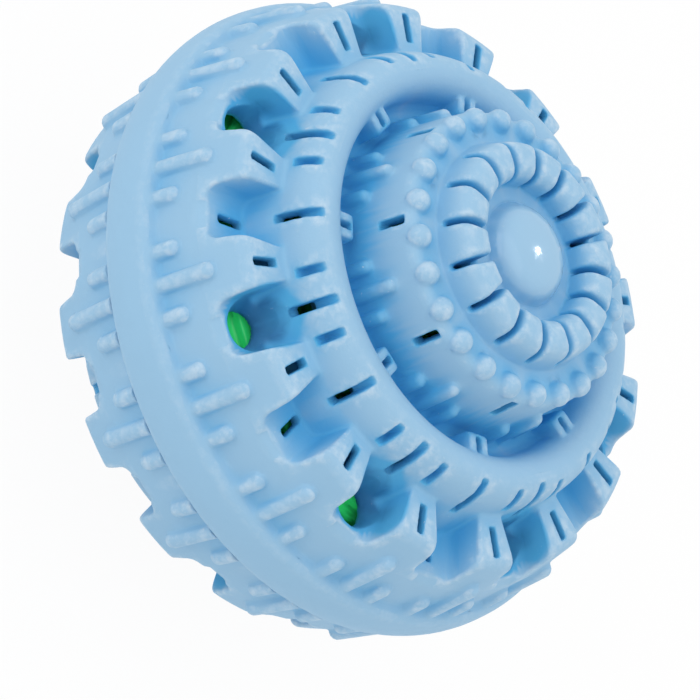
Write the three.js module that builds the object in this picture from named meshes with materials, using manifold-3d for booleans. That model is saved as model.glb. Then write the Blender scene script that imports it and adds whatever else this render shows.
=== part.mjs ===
// Laundry ball: two moulded rubber half shells that push together at the belt, round a ribbed plastic
// basket in two halves that holds loose ceramic beads. It lies on its rear face, with its axis upright.
// Millimetres, +Z up, origin on the axis at the level of the rear face.
import * as THREE from 'three';
import { mergeVertices } from 'three/addons/utils/BufferGeometryUtils.js';
import Module from 'manifold-3d';

const wasm = await Module();
wasm.setup();

// Counts of the moulded pattern, and the facets of turned surfaces
const BLOCKS = 16;
const WINDOWS = 8;
const BUMPS = 24;
const FACETS = 24;
const DRUM_FACETS = 16;
const BUMP_FACETS = 6;
const ARC_STEPS = 2;
const SCOOP_STEPS = 4;

// Clearance between pieces that touch, and how far a fused feature sinks into what carries it
const GAP = 0.3;
const SINK = 0.8;

// Widths of the half shell's zones, from the axis outwards
const BUTTON_RADIUS = 8.0;
const BUTTON_GROOVE_WIDTH = 2.6;
const FINGER_RING_WIDTH = 6.6;
const FINGER_FLAT_WIDTH = 2.0;
const DRUM_LEDGE_WIDTH = 6.0;
const DRUM_DRAFT = 1.3;
const VALLEY_WIDTH = 3.7;
const OUTER_RING_WIDTH = 10.4;
const OUTER_RING_DRAFT = 1.8;
const OUTER_RING_SHOULDER = 1.0;
const BLOCK_LENGTH = 5.7;
const SHOULDER_WIDTH = 2.6;
const RIM_DRAFT = 1.1;
const BELT_PROUD = 1.7;
const BELT_CROWN = 1.0;

// Heights of the half shell's zones, from the middle plane between the halves upwards
const BELT_TOP = 5.2;
const BELT_SLOPE = 2.8;
const NOTCH_FLOOR = 14.0;
const BLOCK_HEIGHT = 6.4;
const OUTER_RING_RISE = 6.3;
const VALLEY_DEPTH = 6.5;
const DRUM_HEIGHT = 13.8;
const FINGER_HEIGHT = 5.6;
const BUTTON_GROOVE_RISE = 0.9;
const BUTTON_HEIGHT = 3.6;

// Walls of the half shell
const SHELL_WALL = 2.4;
const NOTCH_FLOOR_WALL = 1.9;
const RING_FOOT_RISE = 1.8;

// Notches between the blocks, and the scooped windows in every second one
const NOTCH_WIDTH = 8.8;
const WINDOW_DEPTH = 2.9;

// Slots
const SLOT_WIDTH = 1.4;
const BLOCK_SLOT_MARGIN = 1.2;
const BLOCK_SLOT_DEPTH = 5.0;
const RING_SLOT_DEPTH = 3.6;
const NOTCH_SLOT_LENGTH = 6.0;
const FINGER_GAP = 1.0;

// Ribs, bosses and bumps
const RIM_RIB_WIDTH = 2.7;
const RIM_RIB_PROUD = 1.4;
const RIM_RIB_LONG = 10.4;
const RIM_RIB_SHORT = 4.6;
const RIM_RIB_ANGLE = 6.1;
const DRUM_RIB_WIDTH = 1.8;
const DRUM_RIB_PROUD = 1.5;
const DRUM_RIB_LONG = 9.4;
const DRUM_RIB_SHORT = 6.2;
const DRUM_RIB_ANGLE = 9.0;
const BOSS_WIDTH = 4.0;
const BOSS_HEIGHT = 4.6;
const BOSS_SETBACK = 0.9;
const BUMP_RADIUS = 2.0;
const BUMP_SETBACK = 1.5;

// Lap joint under the belt, whose lower edge is the seam, and the basket's seat behind it
const SEAM_DEPTH = 4.2;
const LAP_HEIGHT = 5.95;
const LAP_WALL = 2.8;
const SPIGOT_WALL = 1.3;
const SEAT_WIDTH = 3.1;
const SEAT_THICKNESS = 2.6;

// Basket
const BASKET_WALL = 1.6;
const BASKET_FLANGE = 1.6;
const BASKET_FULLNESS = 3.2;
const BASKET_RIB = 0.9;
const BASKET_RIBS = 3;
const BASKET_STEPS = 5;
const BASKET_SLOTS = 8;
const BASKET_SLOT_WIDTH = 3.0;
const BASKET_SLOT_START = 13.0;
const BASKET_SLOT_END = 24.0;

// Beads
const BEAD_DIAMETER = 8.0;
const BEAD_SPACING = 1.0;
const BEAD_RINGS = 2;
const BEAD_FACETS = 8;
const BEAD_BANDS = 5;
const BEAD_PROBES = 20;

// Radii and heights that follow
const FINGER_INNER = BUTTON_RADIUS + BUTTON_GROOVE_WIDTH;
const FINGER_OUTER = FINGER_INNER + FINGER_RING_WIDTH;
const FINGER_MIDDLE = (FINGER_INNER + FINGER_OUTER) / 2;
const DRUM_TOP_RADIUS = FINGER_OUTER + DRUM_LEDGE_WIDTH;
const DRUM_BASE_RADIUS = DRUM_TOP_RADIUS + DRUM_DRAFT;
const VALLEY_RADIUS = DRUM_BASE_RADIUS + VALLEY_WIDTH;
const RING_BASE_RADIUS = VALLEY_RADIUS + OUTER_RING_WIDTH;
const RING_FLANK_RADIUS = RING_BASE_RADIUS - OUTER_RING_DRAFT;
const RING_CREST_RADIUS = (VALLEY_RADIUS + RING_FLANK_RADIUS) / 2;
const BLOCK_RADIUS = RING_BASE_RADIUS + BLOCK_LENGTH;
const RIM_TOP_RADIUS = BLOCK_RADIUS + SHOULDER_WIDTH;
const RIM_BASE_RADIUS = RIM_TOP_RADIUS + RIM_DRAFT;
const BELT_RADIUS = RIM_BASE_RADIUS + BELT_PROUD;

const BLOCK_TOP = NOTCH_FLOOR + BLOCK_HEIGHT;
const WINDOW_FLOOR = NOTCH_FLOOR - WINDOW_DEPTH;
const RING_CREST = BLOCK_TOP + OUTER_RING_RISE;
const VALLEY_FLOOR = RING_CREST - VALLEY_DEPTH;
const DRUM_TOP = VALLEY_FLOOR + DRUM_HEIGHT;
const HALF_HEIGHT = DRUM_TOP + FINGER_HEIGHT;
const BUTTON_FLOOR = DRUM_TOP + BUTTON_GROOVE_RISE;
const BUTTON_TOP = BUTTON_FLOOR + BUTTON_HEIGHT;
const NOTCH_CEILING = NOTCH_FLOOR - NOTCH_FLOOR_WALL;

const LAP_RADIUS = BELT_RADIUS - LAP_WALL;
const SPIGOT_RADIUS = LAP_RADIUS - GAP;
const RECESS_RADIUS = SPIGOT_RADIUS - SPIGOT_WALL;
const SEAT_RADIUS = RECESS_RADIUS - SEAT_WIDTH;
const SPIGOT_TOP = LAP_HEIGHT - SEAM_DEPTH;
const SEAT_HEIGHT = BASKET_FLANGE + GAP / 2 + GAP;
const RIM_CAVITY_RADIUS = RIM_TOP_RADIUS - SHELL_WALL;

const BASKET_RADIUS = SEAT_RADIUS - GAP - BASKET_RIB;
const BASKET_FLANGE_RADIUS = RECESS_RADIUS - GAP;
const BASKET_HEIGHT = VALLEY_FLOOR - SHELL_WALL - GAP - BASKET_RIB;

// Colours and finishes
const SHELL_LOOK = { color: 0xa3c6e2, roughness: 0.55, metalness: 0 };
const BASKET_LOOK = { color: 0x14a04b, roughness: 0.4, metalness: 0 };
const BEAD_LOOKS = [
  { color: 0xe9e4d8, roughness: 0.7, metalness: 0 },
  { color: 0xc9a77c, roughness: 0.7, metalness: 0 },
  { color: 0xa5503a, roughness: 0.7, metalness: 0 },
  { color: 0x8b8d8f, roughness: 0.7, metalness: 0 },
];

// A closed solid from a geometry, with its shared corners merged and its faces pointing out.
function solid(geometry) {
  geometry.deleteAttribute('normal');
  geometry.deleteAttribute('uv');
  const merged = mergeVertices(geometry, 1e-4);
  const corners = merged.index.array;
  const triangles = [];
  for (let i = 0; i < corners.length; i += 3) {
    const [a, b, c] = corners.slice(i, i + 3);
    if (a !== b && b !== c && c !== a) triangles.push(a, b, c);
  }
  const vertProperties = Float32Array.from(merged.attributes.position.array);
  const asSolid = (list) => new wasm.Manifold(
    new wasm.Mesh({ numProp: 3, vertProperties, triVerts: Uint32Array.from(list) }),
  );
  const body = asSolid(triangles);
  return body.volume() > 0 ? body : asSolid(triangles.reverse());
}

// A solid turned about the Z axis from points of radius and height.
function turned(points, facets = FACETS) {
  const geometry = new THREE.LatheGeometry(points, facets, Math.PI / facets);
  return solid(geometry.rotateX(Math.PI / 2));
}

// A slab in the plane of radius and height, at the angle 0.
function slab(outline, width) {
  const geometry = new THREE.ExtrudeGeometry(outline, {
    depth: width,
    bevelEnabled: false,
    curveSegments: ARC_STEPS,
  });
  geometry.translate(0, 0, -width / 2);
  return solid(geometry.rotateX(Math.PI / 2));
}

// A prism that runs outwards between two radii, from an outline across the meridian and up.
function spoke(outline, inner, outer) {
  const geometry = new THREE.ExtrudeGeometry(outline, {
    depth: outer - inner,
    bevelEnabled: false,
    curveSegments: SCOOP_STEPS,
  });
  const outwards = new THREE.Matrix4().makeBasis(
    new THREE.Vector3(0, 1, 0),
    new THREE.Vector3(0, 0, 1),
    new THREE.Vector3(1, 0, 0),
  );
  return solid(geometry.applyMatrix4(outwards).translate(inner, 0, 0));
}

// A plain rectangle in the plane of radius and height, given by two corners.
function rectangle(left, bottom, right, top) {
  return new THREE.Shape()
    .moveTo(left, bottom)
    .lineTo(right, bottom)
    .lineTo(right, top)
    .lineTo(left, top)
    .closePath();
}

// Copies of a solid round the axis: one at each angle, in degrees.
function around(body, angles) {
  return wasm.Manifold.union(angles.map((angle) => body.rotate([0, 0, angle])));
}

function every(count, start = 0) {
  return Array.from({ length: count }, (_, i) => start + (i * 360) / count);
}

const BLOCK_PITCH = 360 / BLOCKS;
const windowAngles = every(WINDOWS);
const closedAngles = every(WINDOWS, BLOCK_PITCH);
const blockAngles = every(BLOCKS, BLOCK_PITCH / 2);
const beside = (angles, offset) => angles.flatMap((angle) => [angle - offset, angle + offset]);

// The drum with its finger ring and button, hollow from below, standing in the valley's floor.
function drum() {
  const flatInner = FINGER_MIDDLE - FINGER_FLAT_WIDTH / 2;
  const flatOuter = FINGER_MIDDLE + FINGER_FLAT_WIDTH / 2;
  const outline = new THREE.Path()
    .moveTo(0, BUTTON_TOP)
    .quadraticCurveTo(BUTTON_RADIUS, BUTTON_TOP, BUTTON_RADIUS, BUTTON_FLOOR)
    .lineTo(FINGER_INNER, BUTTON_FLOOR)
    .quadraticCurveTo(FINGER_INNER, HALF_HEIGHT, flatInner, HALF_HEIGHT)
    .lineTo(flatOuter, HALF_HEIGHT)
    .quadraticCurveTo(FINGER_OUTER, HALF_HEIGHT, FINGER_OUTER, DRUM_TOP)
    .lineTo(DRUM_TOP_RADIUS, DRUM_TOP)
    .lineTo(DRUM_BASE_RADIUS, VALLEY_FLOOR)
    .lineTo(DRUM_BASE_RADIUS, VALLEY_FLOOR - SHELL_WALL / 2)
    .lineTo(DRUM_BASE_RADIUS - SHELL_WALL, VALLEY_FLOOR - SHELL_WALL / 2)
    .lineTo(DRUM_TOP_RADIUS - SHELL_WALL, DRUM_TOP - SHELL_WALL)
    .lineTo(0, DRUM_TOP - SHELL_WALL);
  return turned(outline.getPoints(ARC_STEPS), DRUM_FACETS);
}

// Radius of the rim at a height: it widens towards the belt.
function rimRadius(height) {
  return RIM_TOP_RADIUS + (RIM_DRAFT * (NOTCH_FLOOR - height)) / (NOTCH_FLOOR - BELT_TOP);
}

// The outside of a half shell, from the valley's inner edge out to the top of the rim.
function addOutside(outline) {
  outline.moveTo(DRUM_BASE_RADIUS - SHELL_WALL, VALLEY_FLOOR);
  outline.lineTo(VALLEY_RADIUS, VALLEY_FLOOR);
  outline.quadraticCurveTo(VALLEY_RADIUS, RING_CREST, RING_CREST_RADIUS, RING_CREST);
  outline.quadraticCurveTo(
    RING_FLANK_RADIUS - OUTER_RING_SHOULDER,
    RING_CREST,
    RING_FLANK_RADIUS,
    BLOCK_TOP,
  );
  outline.lineTo(RING_BASE_RADIUS, NOTCH_FLOOR);
  outline.lineTo(RIM_TOP_RADIUS, NOTCH_FLOOR);
}

// The hollow of a half shell, from the basket's seat up and in to the valley's inner edge.
function addHollow(outline) {
  outline.lineTo(RIM_CAVITY_RADIUS, SEAT_HEIGHT + SEAT_THICKNESS);
  outline.lineTo(RIM_CAVITY_RADIUS, NOTCH_CEILING);
  outline.lineTo(RING_BASE_RADIUS, NOTCH_CEILING);
  outline.lineTo(RING_BASE_RADIUS - SHELL_WALL, NOTCH_CEILING + RING_FOOT_RISE);
  outline.lineTo(RING_FLANK_RADIUS - SHELL_WALL, BLOCK_TOP);
  outline.lineTo(RING_CREST_RADIUS, RING_CREST - SHELL_WALL);
  outline.lineTo(VALLEY_RADIUS + SHELL_WALL, VALLEY_FLOOR - SHELL_WALL);
  outline.lineTo(DRUM_BASE_RADIUS - SHELL_WALL, VALLEY_FLOOR - SHELL_WALL);
  outline.closePath();
}

// Front half: its crowned belt stands proud of the rim and reaches over the rear half's spigot.
function frontOutline() {
  const outline = new THREE.Path();
  const lapTop = Math.max(SPIGOT_TOP + GAP, SEAT_HEIGHT);
  addOutside(outline);
  outline.lineTo(RIM_BASE_RADIUS, BELT_TOP);
  outline.lineTo(BELT_RADIUS, BELT_TOP);
  outline.lineTo(BELT_RADIUS + BELT_CROWN, BELT_TOP - BELT_SLOPE);
  outline.lineTo(BELT_RADIUS + BELT_CROWN, GAP - SEAM_DEPTH + BELT_SLOPE);
  outline.lineTo(BELT_RADIUS, GAP - SEAM_DEPTH);
  outline.lineTo(LAP_RADIUS, GAP - SEAM_DEPTH);
  outline.lineTo(LAP_RADIUS, lapTop);
  outline.lineTo(SEAT_RADIUS, lapTop);
  addHollow(outline);
  return outline;
}

// Rear half, drawn the same way up: its rim ends at the seam, and its spigot stands past the middle plane.
function rearOutline() {
  const outline = new THREE.Path();
  addOutside(outline);
  outline.lineTo(rimRadius(SEAM_DEPTH), SEAM_DEPTH);
  outline.lineTo(SPIGOT_RADIUS, SEAM_DEPTH);
  outline.lineTo(SPIGOT_RADIUS, -SPIGOT_TOP);
  outline.lineTo(RECESS_RADIUS, -SPIGOT_TOP);
  outline.lineTo(RECESS_RADIUS, SEAT_HEIGHT);
  outline.lineTo(SEAT_RADIUS, SEAT_HEIGHT);
  addHollow(outline);
  return outline;
}

// The scoops that open the windows, with a half-round floor, from the outer ring's foot to the rim's wall.
function windowScoops() {
  const half = NOTCH_WIDTH / 2;
  const outline = new THREE.Shape()
    .moveTo(half, BLOCK_TOP + SINK)
    .lineTo(-half, BLOCK_TOP + SINK)
    .lineTo(-half, WINDOW_FLOOR + half)
    .absarc(0, WINDOW_FLOOR + half, half, Math.PI, 2 * Math.PI);
  return around(spoke(outline, RING_BASE_RADIUS, RIM_CAVITY_RADIUS + SINK), windowAngles);
}

// The crown of blocks: a turned ring cut into teeth by the notches.
function blockCrown() {
  const outline = new THREE.Path()
    .moveTo(RING_FLANK_RADIUS - SINK, BLOCK_TOP)
    .lineTo(BLOCK_RADIUS, BLOCK_TOP)
    .lineTo(RIM_TOP_RADIUS, NOTCH_FLOOR)
    .lineTo(RIM_TOP_RADIUS - SINK, NOTCH_FLOOR - SINK)
    .lineTo(RING_BASE_RADIUS - SINK, NOTCH_FLOOR - SINK)
    .lineTo(RING_FLANK_RADIUS - SINK, BLOCK_TOP);
  const notch = spoke(
    rectangle(-NOTCH_WIDTH / 2, WINDOW_FLOOR, NOTCH_WIDTH / 2, BLOCK_TOP + SINK),
    VALLEY_RADIUS,
    BELT_RADIUS + SINK,
  );
  return turned(outline.getPoints(ARC_STEPS)).subtract(around(notch, every(BLOCKS)));
}

// Bars that lean in with the rim, from a lower edge: a long one below each block, and short ones beside it.
function rimRibs(low) {
  const bar = (length) => {
    const top = BELT_TOP + length;
    const bend = top - RIM_RIB_WIDTH / 2;
    const root = RIM_TOP_RADIUS - SHELL_WALL / 2;
    const outline = new THREE.Shape()
      .moveTo(root, low)
      .lineTo(rimRadius(low) + RIM_RIB_PROUD, low)
      .lineTo(rimRadius(bend) + RIM_RIB_PROUD, bend)
      .lineTo(root, top)
      .closePath();
    return slab(outline, RIM_RIB_WIDTH);
  };
  return around(bar(RIM_RIB_LONG), blockAngles)
    .add(around(bar(RIM_RIB_SHORT), beside(blockAngles, RIM_RIB_ANGLE)));
}

// Upright ribs on the drum's wall: a long one at each window, a short one each side.
function drumRibs() {
  const rib = (length) => {
    const top = VALLEY_FLOOR + length;
    const lean = (DRUM_DRAFT * length) / DRUM_HEIGHT;
    const outline = new THREE.Shape()
      .moveTo(DRUM_TOP_RADIUS - SINK, VALLEY_FLOOR - SINK)
      .lineTo(DRUM_BASE_RADIUS + DRUM_RIB_PROUD, VALLEY_FLOOR - SINK)
      .lineTo(DRUM_BASE_RADIUS + DRUM_RIB_PROUD - lean, top)
      .lineTo(DRUM_TOP_RADIUS - SINK, top + DRUM_RIB_PROUD / 2)
      .closePath();
    return slab(outline, DRUM_RIB_WIDTH);
  };
  return around(rib(DRUM_RIB_LONG), windowAngles)
    .add(around(rib(DRUM_RIB_SHORT), beside(windowAngles, DRUM_RIB_ANGLE)));
}

// Small blocks across the valley at the closed notches.
function valleyBosses() {
  const outline = rectangle(
    DRUM_BASE_RADIUS + BOSS_SETBACK,
    VALLEY_FLOOR - SINK,
    VALLEY_RADIUS + SHELL_WALL,
    VALLEY_FLOOR + BOSS_HEIGHT,
  );
  return around(slab(outline, BOSS_WIDTH), closedAngles);
}

// Round bumps along the drum's upper edge.
function drumBumps() {
  const dome = new THREE.Path()
    .moveTo(0, BUMP_RADIUS)
    .quadraticCurveTo(BUMP_RADIUS, BUMP_RADIUS, BUMP_RADIUS, -BUMP_RADIUS / 2)
    .lineTo(0, -BUMP_RADIUS / 2);
  const bump = turned(dome.getPoints(ARC_STEPS), BUMP_FACETS);
  return around(bump.translate([DRUM_TOP_RADIUS - BUMP_SETBACK, 0, DRUM_TOP]), every(BUMPS));
}

// Slots through the outer ring's flank, one at every notch.
function ringSlots() {
  const foot = new THREE.Vector2(RING_FLANK_RADIUS, BLOCK_TOP);
  const head = new THREE.Vector2((RING_CREST_RADIUS + RING_FLANK_RADIUS) / 2, RING_CREST);
  const along = head.clone().sub(foot);
  const out = new THREE.Vector2(along.y, -along.x).normalize();
  const corners = [
    foot.clone().addScaledVector(out, SHELL_WALL),
    head.clone().addScaledVector(out, SHELL_WALL),
    head.clone().addScaledVector(out, -SHELL_WALL),
    foot.clone().addScaledVector(out, -RING_SLOT_DEPTH),
  ];
  return around(slab(new THREE.Shape(corners), SLOT_WIDTH), every(BLOCKS));
}

// Slots in the block ends and through the closed notch floors.
function plainSlots() {
  const inBlocks = rectangle(
    RING_BASE_RADIUS + BLOCK_SLOT_MARGIN / 2,
    BLOCK_TOP - BLOCK_SLOT_DEPTH,
    BLOCK_RADIUS - BLOCK_SLOT_MARGIN,
    BLOCK_TOP + SINK,
  );
  const inNotches = rectangle(
    RIM_CAVITY_RADIUS - NOTCH_SLOT_LENGTH,
    NOTCH_CEILING - SINK,
    RIM_CAVITY_RADIUS,
    NOTCH_FLOOR + SINK,
  );
  return around(slab(inBlocks, SLOT_WIDTH), blockAngles)
    .add(around(slab(inNotches, SLOT_WIDTH), closedAngles));
}

// Gaps that part the finger ring into fingers.
function fingerGaps() {
  const outline = rectangle(
    FINGER_INNER - SINK,
    BUTTON_FLOOR + GAP,
    FINGER_OUTER + SINK,
    HALF_HEIGHT + SINK,
  );
  return around(slab(outline, FINGER_GAP), every(BLOCKS));
}

function halfShell(outline, ribsFrom) {
  return turned(outline.getPoints(ARC_STEPS))
    .add(drum())
    .add(blockCrown())
    .subtract(windowScoops())
    .add(rimRibs(ribsFrom))
    .add(drumRibs())
    .add(valleyBosses())
    .add(drumBumps())
    .subtract(ringSlots())
    .subtract(plainSlots())
    .subtract(fingerGaps());
}

// Points of the basket's rounded wall, from its rim up to the axis, standing out or in by an offset.
function basketWall(offset, steps) {
  const points = [];
  for (let i = 0; i <= steps; i += 1) {
    const turn = ((Math.PI / 2) * i) / steps;
    const radius = (BASKET_RADIUS + offset) * Math.cos(turn) ** (2 / BASKET_FULLNESS);
    const height = (BASKET_HEIGHT + offset) * Math.sin(turn) ** (2 / BASKET_FULLNESS);
    points.push(new THREE.Vector2(i === steps ? 0 : radius, height));
  }
  return points;
}

// A half basket: a domed wall with raised rings round its shoulder, and a flange at its rim.
function halfBasket() {
  const rimLevel = GAP / 2;
  const inside = basketWall(-BASKET_WALL, BASKET_STEPS);
  const fine = basketWall(0, 2 * BASKET_STEPS);
  const proud = basketWall(BASKET_RIB, 2 * BASKET_STEPS);
  const outside = fine
    .map((point, i) => (i % 2 === 1 && i < 2 * BASKET_RIBS ? proud[i] : point))
    .filter((point, i) => i < 2 * BASKET_RIBS || i % 2 === 0);
  const outline = [
    ...inside.slice(1).reverse(),
    new THREE.Vector2(BASKET_RADIUS - BASKET_WALL, rimLevel),
    new THREE.Vector2(BASKET_FLANGE_RADIUS, rimLevel),
    new THREE.Vector2(BASKET_FLANGE_RADIUS, rimLevel + BASKET_FLANGE),
    new THREE.Vector2(BASKET_RADIUS, rimLevel + BASKET_FLANGE),
    ...outside.slice(1),
  ];
  const slot = slab(
    rectangle(BASKET_SLOT_START, 0, BASKET_SLOT_END, BASKET_HEIGHT + SINK),
    BASKET_SLOT_WIDTH,
  );
  return turned(outline).subtract(around(slot.translate([0, 0, BASKET_FLANGE + SINK]), every(BASKET_SLOTS)));
}

// Height of the basket's inner wall above the belt plane at a radius, on its flattest facets.
function basketDepth(radius) {
  const wall = basketWall(-BASKET_WALL, BASKET_STEPS);
  const corner = radius / Math.cos(Math.PI / FACETS);
  const i = wall.findIndex((point) => point.x <= corner);
  const part = (corner - wall[i].x) / (wall[i - 1].x - wall[i].x);
  return THREE.MathUtils.lerp(wall[i].y, wall[i - 1].y, part);
}

// Height of a bead's centre below the belt plane when it rests on the basket's floor at a radius.
function beadDepth(radius) {
  const reach = BEAD_DIAMETER / 2 + GAP;
  const depths = [];
  for (let i = -BEAD_PROBES; i <= BEAD_PROBES; i += 1) {
    const across = (reach * i) / BEAD_PROBES;
    depths.push(basketDepth(Math.abs(radius + across)) - Math.sqrt(reach ** 2 - across ** 2));
  }
  return Math.min(...depths);
}

function meshOf(body, name, look) {
  const { vertProperties, triVerts } = body.getMesh();
  const geometry = new THREE.BufferGeometry();
  geometry.setAttribute('position', new THREE.BufferAttribute(vertProperties, 3));
  geometry.setIndex(new THREE.BufferAttribute(triVerts, 1));
  geometry.computeVertexNormals();
  const mesh = new THREE.Mesh(geometry, new THREE.MeshStandardMaterial(look));
  mesh.name = name;
  return mesh;
}

// Beads lie in rings on the floor of the rear basket, of four kinds in turn.
function beads() {
  const group = new THREE.Group();
  const pitch = BEAD_DIAMETER + BEAD_SPACING;
  for (let ring = 0; ring <= BEAD_RINGS; ring += 1) {
    const radius = ring * pitch;
    const count = ring === 0 ? 1 : Math.floor((2 * Math.PI * radius) / pitch);
    for (let i = 0; i < count; i += 1) {
      const turn = (2 * Math.PI * i) / count;
      const look = BEAD_LOOKS[(ring + i) % BEAD_LOOKS.length];
      const geometry = new THREE.SphereGeometry(BEAD_DIAMETER / 2, BEAD_FACETS, BEAD_BANDS);
      const bead = meshOf(solid(geometry), `bead_${ring}_${i + 1}`, look);
      bead.position.set(radius * Math.cos(turn), radius * Math.sin(turn), -beadDepth(radius));
      group.add(bead);
    }
  }
  return group;
}

// The rear pieces are turned over about the X axis, which keeps the pattern in step across the belt.
const rearHalf = new THREE.Group();
rearHalf.rotation.x = Math.PI;
rearHalf.add(meshOf(halfShell(rearOutline(), SEAM_DEPTH), 'rear_shell', SHELL_LOOK));
rearHalf.add(meshOf(halfBasket(), 'rear_basket', BASKET_LOOK));

const frontHalf = new THREE.Group();
frontHalf.add(meshOf(halfShell(frontOutline(), BELT_TOP - SINK), 'front_shell', SHELL_LOOK));
frontHalf.add(meshOf(halfBasket(), 'front_basket', BASKET_LOOK));

const laundryBall = new THREE.Group();
laundryBall.position.z = HALF_HEIGHT;
laundryBall.add(rearHalf, frontHalf, beads());

const ball = new THREE.Group();
ball.add(laundryBall);

export default ball;
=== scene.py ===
"""Laundry ball: two moulded rubber half shells round a ribbed basket with loose ceramic beads.

A half shell repeats every 22.5 degrees, with a mirror plane through each window and each closed notch.
One such wedge is modelled in millimetres, softened, and then mirrored and repeated round the axis.
"""

import math
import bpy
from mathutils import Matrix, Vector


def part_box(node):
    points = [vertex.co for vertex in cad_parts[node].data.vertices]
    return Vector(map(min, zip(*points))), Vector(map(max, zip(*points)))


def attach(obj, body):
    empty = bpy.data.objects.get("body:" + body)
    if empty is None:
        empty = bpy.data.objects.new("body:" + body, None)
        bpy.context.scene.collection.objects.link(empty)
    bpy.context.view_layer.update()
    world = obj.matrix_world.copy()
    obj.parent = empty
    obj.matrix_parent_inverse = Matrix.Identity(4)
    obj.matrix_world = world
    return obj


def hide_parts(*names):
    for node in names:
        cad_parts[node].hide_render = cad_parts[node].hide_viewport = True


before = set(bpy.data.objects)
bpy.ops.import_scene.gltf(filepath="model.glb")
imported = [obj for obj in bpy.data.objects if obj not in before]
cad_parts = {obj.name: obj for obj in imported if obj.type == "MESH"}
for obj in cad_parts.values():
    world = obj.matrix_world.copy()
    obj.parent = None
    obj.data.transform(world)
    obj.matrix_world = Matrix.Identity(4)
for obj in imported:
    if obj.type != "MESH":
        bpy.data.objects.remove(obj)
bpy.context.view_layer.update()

from types import SimpleNamespace

import bmesh
import bpy
from bpy.props import FloatProperty, FloatVectorProperty, PointerProperty
from bpy.types import Operator, Panel, PropertyGroup
from mathutils import Matrix, Vector, noise
from mathutils.bvhtree import BVHTree

bl_info = {
    "name": "Laundry Ball",
    "version": (1, 0, 0),
    "blender": (4, 5, 0),
    "location": "View3D > Sidebar > Laundry Ball",
    "description": "Builds a moulded rubber laundry ball with its basket, beads and stage",
    "category": "Add Mesh",
}

MM = 0.001

# The moulded pattern, in degrees from a window
WINDOW = 0.0
CLOSED = 22.5
BLOCK = 11.25
WEDGE = 22.5
WEDGE_MARGIN = 9.0
REPEATS = 8
SPIN_STEP = 1.5
RAYS = 36

# How finely the wedges are kept, and how far the shade looks round each point
WEDGE_TRIANGLES = 14200
LONGEST_EDGE = 1.85
BASKET_TRIANGLES = 14000
SHADE_REACH = 12.0

# A window's bowl: its middle from the outer ring's base and the notch floor, and its reach each way
BOWL_OUT = 2.6
BOWL_UP = 2.5
BOWL_REACH_OUT = 4.4
BOWL_REACH_IN = 3.6
BOWL_REACH_ACROSS = 4.25
BOWL_DEPTH = 5.6
BOWL_WALL = 0.7

# The lap joint behind the belt and the basket's seat, as radii and heights
BELT_BORE = 46.9
SPIGOT_OUTER = 46.6
SPIGOT_INNER = 45.3
SPIGOT_END = -1.75
SEAT_RADIUS = 42.2
SEAT_LEVEL = 2.05
SEAT_TOP = 4.65

# How the zones of the shell take the shade
RIM_SHADE = 0.75
RING_INSIDE_EASE = 0.45
FINGER_SHADE = 0.64
BOWL_SHADE = 0.58

# Colours that show only in places: a painted deep shade, a frost that is partly painted edge highlight,
# specks, and the basket's cloud
PAINTED_GLOOM = (0.022, 0.19, 0.42)
FROST_AND_SHEEN = (0.66, 0.78, 0.88)
SPECK = (0.78, 0.83, 0.88)
BASKET_CLOUD = (0.05, 0.46, 0.16)

# The side that the soft light of the studio comes from, and where the camera stands
LIGHT_SIDE = (-0.796, -0.003, 0.605)
BUTTON_GLINT = (-0.4856, -0.5939, 0.6415)
CAMERA_PLACE = (0.3392, 0.4219, 0.4494)
CAMERA_RIGHT = (-0.650, -0.245, 0.719)
CAMERA_BACK = (0.4856, 0.5939, 0.6415)
CAMERA_LENS = 231.43


def length(name, description, millimetres):
    return FloatProperty(
        name=name, description=description, default=millimetres * MM, min=0.0, unit="LENGTH", precision=5
    )


def colour(name, description, value):
    return FloatVectorProperty(
        name=name, description=description, default=value, size=3, min=0.0, max=1.0, subtype="COLOR"
    )


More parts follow.
